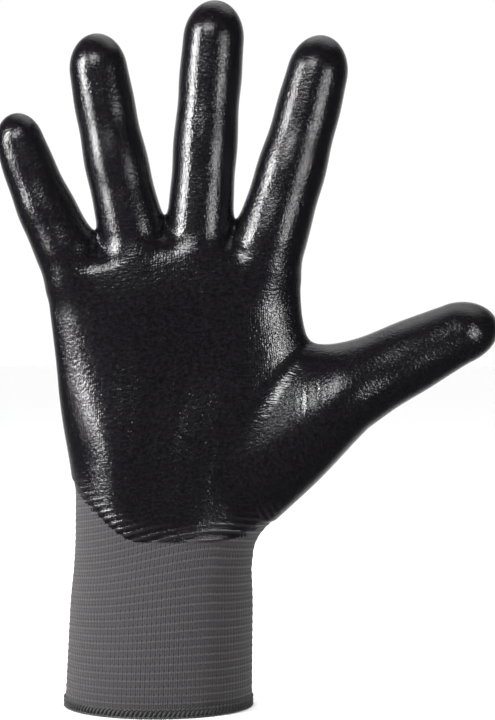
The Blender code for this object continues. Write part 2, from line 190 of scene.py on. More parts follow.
def bump(x, centre, width):
    return np.exp(-((x - centre) / width) ** 2)


# ---------------------------------------------------------------- the hand that the frame gives
class Digit:
    """A finger or thumb, measured from its joints and its CAD nodes."""

    def __init__(self, name, segments):
        self.name = name
        self.segments = segments
        places = [np.array(JOINTS[f"{name}_{s}_bend"]["pos_m"], float) for s in segments]
        self.root = places[0]
        self.side = unit(JOINTS[f"{name}_base_bend"]["axis"])
        self.along = unit(places[1] - places[0])
        self.back = np.cross(self.along, self.side)
        self.joints = [float((p - self.root) @ self.along) for p in places]
        base = self.local(node_points(f"{name}_base_coating"))
        tip = self.local(node_points(f"{name}_tip_coating"))
        self.length = tip[:, 2].max()
        self.root_half = np.abs(base[:, 0]).max()
        self.root_depth = -base[:, 1].min()
        dome = np.abs(tip[:, 0]) > self.length - tip[:, 2] - 0.2 * MM
        self.tip_half = np.abs(tip[dome, 0]).max()

    def local(self, points):
        """Coordinates across the digit, out of its back, and along it from the root joint."""
        d = points - self.root
        return np.stack([d @ self.side, d @ self.back, d @ self.along], -1)

    def point(self, along, side=0.0, back=0.0):
        return self.root + self.along * along + self.side * side + self.back * back


FINGERS = [Digit(name, ("base", "middle", "tip")) for name in ("pinky", "ring", "middle", "index")]
THUMB = Digit("thumb", ("base", "tip"))
DIGITS = FINGERS + [THUMB]

DOME_SHARE = 1.30                # how long a fingertip's rounding is, over its half-width
# How far each digit's middle bows towards the thumb side, from a straight line.
BOWS = {"pinky": -1.3 * MM, "ring": -0.8 * MM, "middle": -0.2 * MM, "index": 0.7 * MM, "thumb": -1.3 * MM}
HEEL_REACH = 0.56                # how far the ball of the thumb goes down towards the coating's edge
HEEL_DROP = 14 * MM              # how far it curves down there
HEEL_SWELL = 3.4 * MM            # how much wider it is than the thumb
HEEL_SINK = 8.5 * MM             # how far it sinks into the palm
HEEL_TAPER = 4.5 * MM            # how much its lower end narrows
THUMB_WEB = 8 * MM               # how far the skin between thumb and forefinger stands out
THUMB_CUT = -4.5 * MM            # where the thumb's piece begins, from its root joint

WRIST = np.array(JOINTS["wrist_bend"]["pos_m"], float)
HEM_LOW, HEM_HIGH = (np.array(c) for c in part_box("cuff_hem"))
CUFF_LOW, CUFF_HIGH = (np.array(c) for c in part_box("cuff_knit"))
RING_LOW, RING_HIGH = (np.array(c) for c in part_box("wrist_stretch_ring"))
COAT_LOW = np.array(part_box("palm_coating")[0])
HEM_X = (HEM_LOW[0] + HEM_HIGH[0]) / 2
WRIST_X = (RING_LOW[0] + RING_HIGH[0]) / 2
CUFF_HALF = (CUFF_HIGH - CUFF_LOW) / 2
WRIST_HALF = (RING_HIGH - RING_LOW) / 2
COAT_LOW_Z = COAT_LOW[2]
KNUCKLE_LEFT = FINGERS[0].point(0, -FINGERS[0].root_half)
KNUCKLE_RIGHT = FINGERS[3].point(0, FINGERS[3].root_half)
JOIN_Z = WRIST[2] + 0.30 * (KNUCKLE_LEFT[2] - WRIST[2])   # where the cuff's knit meets the back's


# ---------------------------------------------------------------- distance field
def smooth_union(a, b, k):
    h = np.clip(0.5 + 0.5 * (b - a) / k, 0.0, 1.0)
    return b + (a - b) * h - k * h * (1 - h)


def digit_field(digit, points):
    """Signed distance, about, to a digit: an oval tube that sinks into the hand below its root."""
    s, b, a = digit.local(points).T
    dome = DOME_SHARE * digit.tip_half
    reach = digit.length - dome
    width = digit.root_half + (digit.tip_half - digit.root_half) * np.clip(a / reach, 0.0, 1.0)
    s = s - BOWS[digit.name] * np.sin(pi * np.clip(a / digit.length, 0.0, 1.0))
    below = 3 * digit.root_half
    if digit is THUMB:
        below = (digit.root[2] - COAT_LOW_Z) / digit.along[2] * HEEL_REACH
        heel = np.clip(-a / below, 0.0, 1.2)
        drop = HEEL_DROP * heel ** 1.25
        down = np.array([digit.along[2], 0.0, -digit.along[0]])
        s = s - drop * (down @ digit.side)
        b = b - drop * (down @ digit.back) - HEEL_SINK * smoothstep(heel, -0.1, 0.7)
        width = width + HEEL_SWELL * np.sin(pi * np.clip(1.25 * heel, 0.0, 1.0))
        width = width - HEEL_TAPER * smoothstep(heel, 0.55, 1.1)
    else:
        width = width * (1 - 0.35 * smoothstep(-a, 1 * MM, below))
    for joint in digit.joints[1:]:
        width = width * (1 + JOINT_SWELL * bump(a, joint, 0.55 * digit.root_half))
        width = width * (1 - JOINT_WAIST * bump(a, joint - 0.9 * digit.root_half, 0.5 * digit.root_half))
    depth = width * (digit.root_depth / digit.root_half)
    b = b + TIP_PAD * digit.tip_half * bump(a, digit.length - 1.1 * digit.tip_half, 0.9 * digit.tip_half)
    beyond = np.maximum(a - reach, 0.0) / dome
    oval = np.sqrt((s / width) ** 2 + (b / depth) ** 2 + beyond ** 2)
    return (oval - 1.0) * depth + np.maximum(-a - below, 0.0)


def hand_section(z):
    """Centre, half-width and half-depth of the cuff and hand at a height."""
    up = np.clip((z - WRIST[2]) / (KNUCKLE_LEFT[2] - WRIST[2]), 0.0, 1.15)
    down = np.clip((z - HEM_LOW[2]) / (WRIST[2] - HEM_LOW[2]), 0.0, 1.0)
    centre = HEM_X + (WRIST_X - HEM_X) * down
    width = CUFF_HALF[0] + (WRIST_HALF[0] - CUFF_HALF[0]) * down
    depth = CUFF_HALF[1] + (WRIST_HALF[1] - CUFF_HALF[1]) * down
    lean = 0.5 * smoothstep(up, 0.22, 0.60) + 0.5 * smoothstep(up, 0.50, 1.05)
    left = (centre - width) * (1 - lean) + (KNUCKLE_LEFT[0] + 3.2 * MM) * lean
    lean = np.clip(up / 0.75, 0.0, 1.0) ** 1.1
    right = (centre + width) * (1 - lean) + (KNUCKLE_RIGHT[0] - 2.2 * MM) * lean
    right = right + THUMB_WEB * bump(z, THUMB.root[2] + 1 * MM, 16 * MM)
    knuckle_depth = FINGERS[2].root_depth * 1.05
    depth = depth + (knuckle_depth - depth) * np.minimum(up, 1.0) ** 0.8
    return (left + right) / 2, (right - left) / 2, depth, up


def knuckle_height(x):
    """Height of the palm's top edge, through the finger roots."""
    spots = [KNUCKLE_LEFT] + [f.root for f in FINGERS] + [KNUCKLE_RIGHT]
    return np.interp(x, [p[0] for p in spots], [p[2] for p in spots])


def hand_field(points):
    x, y, z = points.T
    centre, width, depth, up = hand_section(z)
    t = (x - centre) / width
    power = 2.0 + 0.5 * np.minimum(up, 1.0)
    # The heel of the palm swells at the little finger's side, and the palm is hollow between.
    heel = HEEL_PAD * bump(t, -0.55, 0.34) * bump(up, 0.38, 0.28)
    hollow = -PALM_HOLLOW * bump(t, 0.0, 0.40) * bump(up, 0.60, 0.25)
    pad = KNUCKLE_PAD * bump(up, 0.90, 0.14)
    front = (y < 0) * smoothstep(-y, 0.2 * depth, 0.8 * depth)
    shift = front * (heel + hollow + pad)
    oval = (np.abs(t) ** power + np.abs(y / (depth + shift)) ** power) ** (1 / power)
    body = (oval - 1.0) * np.minimum(width, depth) * 0.95
    top = z - knuckle_height(x) + KNUCKLE_OVER
    return -smooth_union(-body, -top, KNUCKLE_ROUND)


def creases(points):
    """Height of the soft folds in the palm and around the thumb's root, to add outwards."""
    x, y, z = points.T
    centre, width, _, up = hand_section(z)
    t = (x - centre) / width
    palm = (y < 0) * smoothstep(up, 0.1, 0.3) * (1 - smoothstep(up, 0.85, 1.0))
    height = np.zeros(len(points))
    for place, lean, size, spread in CREASES:
        bend = 0.03 * np.sin(9 * up + 20 * place)
        line = t - place - lean * (up - 0.5) - bend
        height -= size * bump(line, 0, 0.035) * bump(up, spread, 0.26) * palm
        height += 0.5 * size * bump(line, 0.075, 0.05) * bump(up, spread, 0.26) * palm
    s, b, a = THUMB.local(points).T
    for place, slope, size in THUMB_FOLDS:
        line = a - place - slope * s
        near = (b < 0) * bump(s, 0.2 * THUMB.root_half, 0.42 * THUMB.root_half)
        height -= size * bump(line, 0, 1.3 * MM) * near
        height += 0.6 * size * bump(line, 2.6 * MM, 1.7 * MM) * near
    return height


def field(points):
    """Signed distance, about, to the glove's coated outer shape."""
    total = hand_field(points)
    for digit in FINGERS:
        total = smooth_union(total, digit_field(digit, points), FINGER_ROUND)
    total = smooth_union(total, digit_field(THUMB, points), THUMB_ROUND)
    return total - creases(points)


def gradient(points, step=0.3 * MM):
    g = np.empty_like(points)
    for k in range(3):
        d = np.zeros(3)
        d[k] = step
        g[:, k] = (field(points + d) - field(points - d)) / (2 * step)
    return g


def project(points, level=0.0, rounds=3):
    """Moves points along the field's slope until they lie on its level."""
    for _ in range(rounds):
        g = gradient(points)
        f = field(points) - level
        points = points - np.clip(f / (g * g).sum(1), -STEP_LIMIT, STEP_LIMIT)[:, None] * g
    return points


def surface_net(low, high, spacing):
    """Quads over the field's zero level in a box, as (points, faces)."""
    axes = [np.arange(low[k], high[k] + spacing, spacing) for k in range(3)]
    shape = tuple(len(a) for a in axes)
    grid = np.stack(np.meshgrid(*axes, indexing="ij"), -1).reshape(-1, 3)
    values = np.concatenate([field(part) for part in np.array_split(grid, 24)]).reshape(shape)
    inside = values < 0
    corners = [inside[i:shape[0] - 1 + i, j:shape[1] - 1 + j, k:shape[2] - 1 + k]
               for i in (0, 1) for j in (0, 1) for k in (0, 1)]
    count = sum(c.astype(int) for c in corners)
    crossed = (count > 0) & (count < 8)
    number = np.full(crossed.shape, -1)
    cells = np.argwhere(crossed)
    number[crossed] = np.arange(len(cells))
    points = np.array(low) + (cells + 0.5) * spacing
    faces = []
    for axis in range(3):
        u, v = (axis + 1) % 3, (axis + 2) % 3
        one = np.take(inside, range(0, shape[axis] - 1), axis)
        two = np.take(inside, range(1, shape[axis]), axis)
        for spot in np.argwhere(one != two):
            if spot[u] == 0 or spot[v] == 0 or spot[u] >= crossed.shape[u] or spot[v] >= crossed.shape[v]:
                continue
            quad = []
            for du, dv in ((1, 1), (0, 1), (0, 0), (1, 0)):
                cell = spot.copy()
                cell[u] -= du
                cell[v] -= dv
                quad.append(number[tuple(cell)])
            faces.append(quad if one[tuple(spot)] else quad[::-1])
    return points, np.array(faces)


def relax(points, faces, rounds):
    """Evens out the net by moving points towards their neighbours, then back onto the surface."""
    for _ in range(rounds):
        total = np.zeros_like(points)
        count = np.zeros(len(points))
        for a, b in ((0, 1), (1, 2), (2, 3), (3, 0)):
            for p, q in ((a, b), (b, a)):
                np.add.at(total, faces[:, p], points[faces[:, q]])
                np.add.at(count, faces[:, p], 1)
        points = project(0.5 * points + 0.5 * total / np.maximum(count, 1)[:, None], rounds=2)
    return points


def vertex_normals(points, faces):
    a, b = points[faces[:, 2]] - points[faces[:, 0]], points[faces[:, 3]] - points[faces[:, 1]]
    flat = np.cross(a, b)
    total = np.zeros_like(points)
    for k in range(4):
        np.add.at(total, faces[:, k], flat)
    return total / np.maximum(np.linalg.norm(total, axis=1), 1e-12)[:, None]


# ---------------------------------------------------------------- where the coating is
def coat_field(points):
    """How far inside the coating's edge a point is, in metres; negative on bare knit."""
    x, y, z = points.T
    centre, width, _, _ = hand_section(z)
    t = np.clip((x - centre) / width, -1.0, 1.0)
    rise = np.where(t < 0, EDGE_RISE * t ** 2, EDGE_RISE_THUMB * np.abs(t) ** 3)
    wrist = z - (COAT_LOW_Z + rise)
    wave = EDGE_WAVE_X[0] * np.sin(x / EDGE_WAVE_X[1])
    wave = wave + EDGE_WAVE_Z[0] * np.sin(z / EDGE_WAVE_Z[1] + 1.0)
    share = smoothstep(hand_field(points) - digit_field(THUMB, points), *THUMB_REACH)
    side = COAT_WRAP - COAT_WRAP_LESS * share - y + wave
    for digit in DIGITS:
        a = digit.local(points)[:, 2]
        near = digit_field(digit, points) < TIP_NEAR
        tip = a - (digit.length - TIP_COAT * digit.tip_half) + wave
        side = np.where(near, np.maximum(side, tip), side)
    return np.minimum(side, wrist + 0.3 * wave)


def course_height(points):
    """The height of a point counted along the courses, which rise towards the thumb's side."""
    x, _, z = points.T
    centre, width, _, _ = hand_section(z)
    t = np.clip((x - centre) / width, -1.0, 1.0)
    lift = COURSE_RISE * smoothstep(t, -1.3, 0.6) - COURSE_FALL * smoothstep(t, 0.4, 1.2)
    share = np.clip(z / WRIST[2], 0.0, 1.3) ** 1.5
    return z - lift * share


def knit_coordinates(points, faces):
    """Per corner: distance round the knit, distance along it, and depth inside the coating."""
    middles = points[faces].mean(1)
    best = hand_field(middles)
    choice = np.zeros(len(faces), int)
    for n, digit in enumerate(DIGITS, 1):
        f = digit_field(digit, middles)
        closer = f < best - 0.5 * MM
        choice[closer] = n
        best = np.minimum(best, f)
    out = np.empty((len(faces), 4, 3))
    corners = points[faces]
    flat = corners.reshape(-1, 3)
    centre, width, depth, _ = hand_section(flat[:, 2])
    angle = np.arctan2(flat[:, 1] / depth, (flat[:, 0] - centre) / width).reshape(-1, 4)
    out[:, :, 0] = unwrapped(angle) * WRIST_HALF[0]
    out[:, :, 1] = course_height(flat).reshape(-1, 4)
    for n, digit in enumerate(DIGITS, 1):
        mine = choice == n
        local = digit.local(corners[mine].reshape(-1, 3))
        angle = np.arctan2(local[:, 1], local[:, 0]).reshape(-1, 4)
        out[mine, :, 0] = unwrapped(angle) * digit.root_half
        out[mine, :, 1] = local[:, 2].reshape(-1, 4)
    out[:, :, 2] = coat_field(flat).reshape(-1, 4)
    return out


def unwrapped(angle):
    """Angles of a face's corners without a jump of a whole turn inside the face."""
    jump = angle - angle[:, :1]
    return angle - np.round(jump / (2 * pi)) * 2 * pi


# ---------------------------------------------------------------- pieces
def make_piece(name, points, faces, normals, coordinates, material, wall):
    """A closed shell: the outer faces, the same ones moved inwards by wall, and a rim."""
    used, faces = np.unique(faces, return_inverse=True)
    faces = faces.reshape(-1, 4)
    outer, out_normals = points[used], normals[used]
    count = len(used)
    inner = outer - out_normals * wall
    edges = np.concatenate([faces[:, [k, (k + 1) % 4]] for k in range(4)])
    corner_of = np.concatenate([np.arange(len(faces)) * 4 + k for k in range(4)])
    next_of = np.concatenate([np.arange(len(faces)) * 4 + (k + 1) % 4 for k in range(4)])
    keys = np.sort(edges, 1) @ np.array([count, 1])
    _, index, times = np.unique(keys, return_index=True, return_counts=True)
    rim = index[times == 1]
    rims = np.stack([edges[rim, 1], edges[rim, 0], edges[rim, 0] + count, edges[rim, 1] + count], 1)
    every = np.concatenate([faces, faces[:, ::-1] + count, rims])
    flat = coordinates.reshape(-1, 3)
    rim_coordinates = np.stack([flat[next_of[rim]], flat[corner_of[rim]],
                                flat[corner_of[rim]], flat[next_of[rim]]], 1)
    knit = np.concatenate([coordinates, coordinates[:, ::-1], rim_coordinates])
    mesh = bpy.data.meshes.new(name)
    mesh.from_pydata(np.concatenate([outer, inner]).tolist(), [], every.tolist())
    attribute = mesh.attributes.new("knit", "FLOAT_VECTOR", "CORNER")
    attribute.data.foreach_set("vector", knit.astype(np.float32).ravel())
    mesh.shade_smooth()
    mesh.materials.append(material)
    corner_normals = np.concatenate([out_normals[faces].reshape(-1, 3),
                                     -out_normals[faces[:, ::-1]].reshape(-1, 3)])
    rim_normals = np.zeros((len(rims) * 4, 3))
    mesh.normals_split_custom_set(np.concatenate([corner_normals, rim_normals]).tolist())
    made = bpy.data.objects.new(name, mesh)
    bpy.context.scene.collection.objects.link(made)
    return made


def section_labels(points, faces):
    """Which part of the glove each face is in: "hand", or a digit's name and segment number."""
    middles = points[faces].mean(1)
    label = np.zeros(len(faces), int)
    names = ["hand"]
    best = hand_field(middles)
    owner = np.full(len(faces), -1)
    for n, digit in enumerate(FINGERS):
        f = digit_field(digit, middles)
        closer = f < np.where(owner < 0, best + DIGIT_GAIN, best)
        owner[closer] = n
        best = np.where(closer, f, best)
    local = THUMB.local(middles)
    owner[np.hypot(local[:, 0], local[:, 1]) < THUMB_PIECE * THUMB.root_half] = len(FINGERS)
    for n, digit in enumerate(DIGITS):
        a = digit.local(middles)[:, 2]
        for k, (segment, low) in enumerate(zip(digit.segments, digit.cuts)):
            mine = (owner == n) & (a > low)
            label[mine] = len(names)
            names.append((digit, k))
    return label, names


def web_height(digit):
    """How far along a digit its neighbours still touch it."""
    reach = 0.0
    for other in FINGERS:
        if other is digit or digit is THUMB:
            continue
        for along in np.arange(*WEB_STEPS):
            for side in (-1, 1):
                spot = digit.point(along, side * (digit.root_half + WEB_BESIDE))[None]
                if field(spot)[0] < 0 and digit_field(other, spot)[0] < WEB_NEAR:
                    reach = max(reach, along)
    return reach


def set_cuts():
    """Where each digit's pieces part: above the web, and in the middle of each bone."""
    for digit in DIGITS:
        first = web_height(digit) + ABOVE_WEB if digit is not THUMB else THUMB_CUT
        digit.cuts = [first]
        for low, high in zip(digit.joints, digit.joints[1:]):
            digit.cuts.append(max((low + high) / 2, first + LEAST_PIECE))


def blend_piece(piece, digit, k):
    """Works out where a digit's piece would bend across its joint k, and bakes the piece's transform into
    its mesh.
    """
    here = digit.joints[k]
    low = digit.cuts[k] + BLEND_MARGIN
    high = digit.cuts[k + 1] - BLEND_MARGIN if k + 1 < len(digit.cuts) else here + BLEND_REACH
    room = min(here - low, high - here, BLEND_ROOM) if k else 0
    start = here - room if k else low
    end = here + room if k else min(low + BLEND_REACH, high)
    tuple(digit.point(start))
    tuple(digit.point(end))
    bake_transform(piece)


def grow_skin():
    """The knit and coating of the hand and digits, as pieces that each span one joint."""
    low = CAD_LOW - GRID_MARGIN
    high = CAD_HIGH + GRID_MARGIN
    low[2] = JOIN_Z - GRID_BELOW
    points, faces = surface_net(low, high, VOXEL)
    points = project(points, rounds=4)
    points = relax(points, faces, 2)
    normals = vertex_normals(points, faces)
    coat = coat_field(points)
    coordinates = knit_coordinates(points, faces)
    label, names = section_labels(points, faces)
    face_coat = coat[faces]
    height = points[faces][:, :, 2].min(1)
    sunk = points - normals * COAT_LIFT
    lift = smoothstep(coat, -COAT_START, COAT_EDGE)
    coated = sunk + normals * ((COAT_LIFT + COAT_SINK) * lift - COAT_SINK)[:, None]
    coat_normals = vertex_normals(coated, faces)
    for n, owner in enumerate(names):
        for kind in ("knit", "coating"):
            if kind == "knit":
                chosen = (label == n) & (face_coat.min(1) < UNDERLAP) & (height > JOIN_Z)
            else:
                chosen = (label == n) & (face_coat.max(1) > -COAT_RIM)
            if not chosen.any():
                continue
            skin = sunk if kind == "knit" else coated
            lit = normals if kind == "knit" else coat_normals
            wall = KNIT_WALL if kind == "knit" else COAT_WALL
            finish = LINER if kind == "knit" else COATING
            title = "hand_back" if owner == "hand" else f"{owner[0].name}_{owner[0].segments[owner[1]]}"
            if owner == "hand" and kind == "coating":
                title = "palm"
            piece = make_piece(f"{title}_{kind}_skin", skin, faces[chosen], lit,
                               coordinates[chosen], finish, wall)
            if owner == "hand":
                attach(piece, "hand")
                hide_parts("hand_knit" if kind == "knit" else "palm_coating")
                continue
            blend_piece(piece, *owner)
            segment = f"{owner[0].name}_{owner[0].segments[owner[1]]}"
            if kind == "knit":
                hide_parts(f"{segment}_knit")
            else:
                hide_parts(f"{segment}_coating", f"{segment}_stretch_ring")


# ---------------------------------------------------------------- cuff
def oval_points(z, angles):
    """Points of the knit's outer face at heights z and angles round the wrist."""
    centre, width, depth, _ = hand_section(z)
    return np.stack([centre + width * np.cos(angles), depth * np.sin(angles), z], -1)


def on_skin(points, level):
    """Moves points level with themselves, towards or away from the cuff's middle, onto the skin."""
    for _ in range(5):
        centre, _, _, _ = hand_section(points[:, 2])
        out = np.stack([points[:, 0] - centre, points[:, 1], np.zeros(len(points))], 1)
        out /= np.linalg.norm(out, axis=1)[:, None]
        f = field(points) - level
        slope = (field(points + out * 0.3 * MM) - field(points - out * 0.3 * MM)) / (0.6 * MM)
        move = np.clip(f / np.maximum(slope, 0.3), -STEP_LIMIT, STEP_LIMIT)
        points = points - out * move[:, None]
    return points


def build_cuff():
    """The cuff's ribbed knit, with every elastic course and every wale as relief."""
    wales = int(round(2 * pi * (WRIST_HALF[0] + WRIST_HALF[1]) / 2 / WALE))
    around = wales * WALE_POINTS
    low, high = HEM_LOW[2] + CUFF_START, JOIN_Z + JOIN_OVERLAP
    rows = int((high - low) / (COURSE / COURSE_ROWS)) + 1
    heights = np.linspace(low, high, rows)
    angles = np.arange(around) / around * 2 * pi
    z, a = np.meshgrid(heights, angles, indexing="ij")
    points = oval_points(z.ravel(), a.ravel())
    proud = CUFF_PROUD - (CUFF_PROUD + COAT_LIFT) * smoothstep(z.ravel(), *PROUD_ENDS)
    points = on_skin(points, proud)
    number = np.arange(rows * around).reshape(rows, around)
    right = np.roll(number, -1, axis=1)
    faces = np.stack([number[:-1], right[:-1], right[1:], number[1:]], -1).reshape(-1, 4)
    normals = vertex_normals(points, faces)
    course = course_height(points) / COURSE
    elastic = bump(course - np.round(course), 0, ELASTIC_WIDTH)
    rib = np.cos(a.ravel() * wales)
    fade = 1 - smoothstep(points[:, 2], JOIN_Z - RELIEF_FADE[0], JOIN_Z - RELIEF_FADE[1])
    relief = (COURSE_RELIEF * elastic + RIB_RELIEF * rib - RELIEF_BASE) * fade
    tucked = smoothstep(points[:, 2], JOIN_Z + TUCK_ENDS[0], JOIN_Z + TUCK_ENDS[1])
    relief -= CUFF_INSET + TUCK * tucked
    points = points + normals * relief[:, None]
    normals = vertex_normals(points, faces)
    coordinates = knit_coordinates(points, faces)
    turn = unwrapped(a.ravel()[faces])
    coordinates[:, :, 0] = turn * wales / (2 * pi) * WALE
    cuff = make_piece("cuff_sleeve_skin", points, faces, normals, coordinates, CUFF, KNIT_WALL)
    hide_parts("cuff_knit", "wrist_stretch_ring")
    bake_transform(cuff)


def tube(name, path, radius, sides, material, closed):
    """A round thread along a path of points."""
    path = np.asarray(path)
    ahead = np.roll(path, -1, 0) - np.roll(path, 1, 0)
    if not closed:
        ahead[0], ahead[-1] = path[1] - path[0], path[-1] - path[-2]
    ahead /= np.linalg.norm(ahead, axis=1)[:, None]
    centre = path.mean(0)
    out = path - centre
    out -= ahead * (out * ahead).sum(1)[:, None]
    out /= np.linalg.norm(out, axis=1)[:, None]
    other = np.cross(ahead, out)
    turns = np.arange(sides) / sides * 2 * pi
    rings = (path[:, None] + radius * (np.cos(turns)[None, :, None] * out[:, None]
                                       + np.sin(turns)[None, :, None] * other[:, None]))
    count = len(path)
    number = np.arange(count * sides).reshape(count, sides)
    steps = range(count) if closed else range(count - 1)
    faces = []
    for i in steps:
        n = (i + 1) % count
        for k in range(sides):
            m = (k + 1) % sides
            faces.append((number[i, k], number[i, m], number[n, m], number[n, k]))
    if not closed:
        faces.append(tuple(number[0][::-1]))
        faces.append(tuple(number[-1]))
    mesh = bpy.data.meshes.new(name)
    mesh.from_pydata(rings.reshape(-1, 3).tolist(), [], [tuple(int(v) for v in f) for f in faces])
    mesh.shade_smooth()
    mesh.materials.append(material)
    made = bpy.data.objects.new(name, mesh)
    bpy.context.scene.collection.objects.link(made)
    return made


def hem_point(angle, up, out):
    """A point of the hem: up from the plane it stands on, out from the middle of its wall."""
    half = (HEM_HIGH - HEM_LOW) / 2
    along = np.stack([np.cos(angle) / half[0], np.sin(angle) / half[1], np.zeros_like(angle)], -1)
    normal = along / np.linalg.norm(along, axis=-1)[..., None]
    place = np.stack([HEM_X + half[0] * np.cos(angle), half[1] * np.sin(angle), HEM_LOW[2] + up], -1)
    return place + normal * (np.asarray(out) - HEM_WALL / 2)[..., None]


def build_hem():
    """The overlocked edge: a padded core, a thread wound over it, and two chained edge threads."""
    height = HEM_HIGH[2] - HEM_LOW[2]
    thread, half_wall, loops = HEM_THREAD, HEM_CORE, HEM_LOOPS
    core_sides, around, loop_steps, chain_steps = 12, 160, 14, 8
    angles = np.arange(around) / around * 2 * pi
    turns = np.arange(core_sides) / core_sides * 2 * pi
    a, t = np.meshgrid(angles, turns, indexing="ij")
    up = height / 2 + (height / 2 - 2 * thread) * np.sin(t)
    core_points = hem_point(a.ravel(), up.ravel(), (half_wall * np.cos(t)).ravel())
    number = np.arange(around * core_sides).reshape(around, core_sides)
    right, above = np.roll(number, -1, 0), np.roll(number, -1, 1)
    faces = np.stack([number, right, np.roll(right, -1, 1), above], -1).reshape(-1, 4)
    mesh = bpy.data.meshes.new("hem_core")
    mesh.from_pydata(core_points.tolist(), [], faces.tolist())
    mesh.shade_smooth()
    mesh.materials.append(THREAD)
    core = bpy.data.objects.new("hem_core", mesh)
    bpy.context.scene.collection.objects.link(core)
    steps = loops * loop_steps
    k = np.arange(steps) / steps
    turn = k * loops * 2 * pi
    slant = 0.35 * np.sin(turn) * 2 * pi / loops
    up = height / 2 + (height / 2 - thread) * np.sin(turn)
    winding_path = hem_point(k * 2 * pi + slant, up, (half_wall + thread) * np.cos(turn))
    winding = tube("hem_winding_thread", winding_path, thread, 6, THREAD, True)
    pieces = [core, winding]
    for name, level in (("upper", height - 0.9 * thread), ("lower", 1.1 * thread)):
        k = np.arange(loops * chain_steps) / (loops * chain_steps)
        sway = 0.5 * thread * np.sin(k * loops * 2 * pi)
        path = hem_point(k * 2 * pi, level + sway * (1 if name == "upper" else 0.3),
                         half_wall + thread * 0.9 + 0.4 * thread * np.cos(k * loops * 2 * pi))
        pieces.append(tube(f"hem_{name}_chain_thread", path, 0.8 * thread, 6, THREAD, True))
    for piece in pieces:
        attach(piece, "cuff")
    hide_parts("cuff_hem")


def build_elastic():
    """The elastic yarn, wound up the inside of the cuff at every course."""
    low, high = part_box("cuff_elastic_yarn")
    turns, turn_steps, clear = int(round((high[2] - low[2]) / COURSE)), 72, 0.4 * MM
    count = turns * turn_steps
    share = np.arange(count) / (count - 1)
    z = low[2] + clear + (high[2] - low[2] - 2 * clear) * share
    points = oval_points(z, share * turns * 2 * pi)
    points = on_skin(points, -COAT_LIFT - KNIT_WALL - ELASTIC_INSET)
    yarn = tube("elastic_yarn_winding", points, ELASTIC_RADIUS, 6, ELASTIC, False)
    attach(yarn, "cuff")
    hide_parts("cuff_elastic_yarn")


# ---------------------------------------------------------------- materials
class Nodes:
    """A short way to write a material's node tree."""

    def __init__(self, name):
        self.material = bpy.data.materials.new(name)
        self.material.use_nodes = True
        self.tree = self.material.node_tree
        self.shader = self.tree.nodes["Principled BSDF"]

    def add(self, kind, **settings):
        node = self.tree.nodes.new(kind)
        for key, value in settings.items():
            setattr(node, key, value)
        return node

    def math(self, operation, a, b=None):
        node = self.add("ShaderNodeMath", operation=operation)
        for socket, value in zip(node.inputs, (a, b)):
            self.feed(socket, value)
        return node.outputs[0]

    def feed(self, socket, value):
        if value is None:
            return
        if isinstance(value, bpy.types.NodeSocket):
            self.tree.links.new(value, socket)
        else:
            socket.default_value = value

    def knit(self):
        """Distance round the knit, distance along it, and depth inside the coating."""
        read = self.add("ShaderNodeAttribute", attribute_name="knit")
        split = self.add("ShaderNodeSeparateXYZ")
        self.tree.links.new(read.outputs["Vector"], split.inputs[0])
        return read.outputs["Vector"], split.outputs[0], split.outputs[1], split.outputs[2]

    def noise(self, vector, scale, detail=3.0, rough=0.55):
        node = self.add("ShaderNodeTexNoise")
        self.feed(node.inputs["Vector"], vector)
        node.inputs["Scale"].default_value = scale
        node.inputs["Detail"].default_value = detail
        node.inputs["Roughness"].default_value = rough
        return node.outputs["Fac"]

    def wave(self, value, pitch, phase=0.0):
        """A wave from 0 to 1 with that pitch."""
        turned = self.math("MULTIPLY_ADD", value, 2 * pi / pitch)
        turned.node.inputs[2].default_value = phase
        return self.math("ADD", self.math("MULTIPLY", self.math("SINE", turned), 0.5), 0.5)

    def ramp(self, value, low, high):
        node = self.add("ShaderNodeMapRange", clamp=True)
        self.feed(node.inputs["Value"], value)
        node.inputs["From Min"].default_value = low
        node.inputs["From Max"].default_value = high
        return node.outputs["Result"]

    def mix(self, share, a, b):
        node = self.add("ShaderNodeMix", data_type="RGBA")
        self.feed(node.inputs["Factor"], share)
        self.feed(node.inputs["A"], (*a, 1.0) if isinstance(a, tuple) else a)
        self.feed(node.inputs["B"], (*b, 1.0) if isinstance(b, tuple) else b)
        return node.outputs["Result"]

    def bump(self, height, distance, strength=1.0, under=None):
        node = self.add("ShaderNodeBump")
        node.inputs["Strength"].default_value = strength
        node.inputs["Distance"].default_value = distance
        self.feed(node.inputs["Height"], height)
        self.feed(node.inputs["Normal"], under)
        return node.outputs["Normal"]


def stitch_height(n, u, v, course):
    """Relief of plain knit: two slanted legs to a wale, stacked a course apart."""
    fold = n.math("PINGPONG", u, WALE / 2)
    legs = n.wave(fold, WALE / 2, -pi / 2)
    slant = n.math("ADD", v, n.math("MULTIPLY", fold, 0.7))
    rows = n.wave(slant, course)
    return n.math("MULTIPLY", legs, n.math("ADD", n.math("MULTIPLY", rows, 0.6), 0.4))


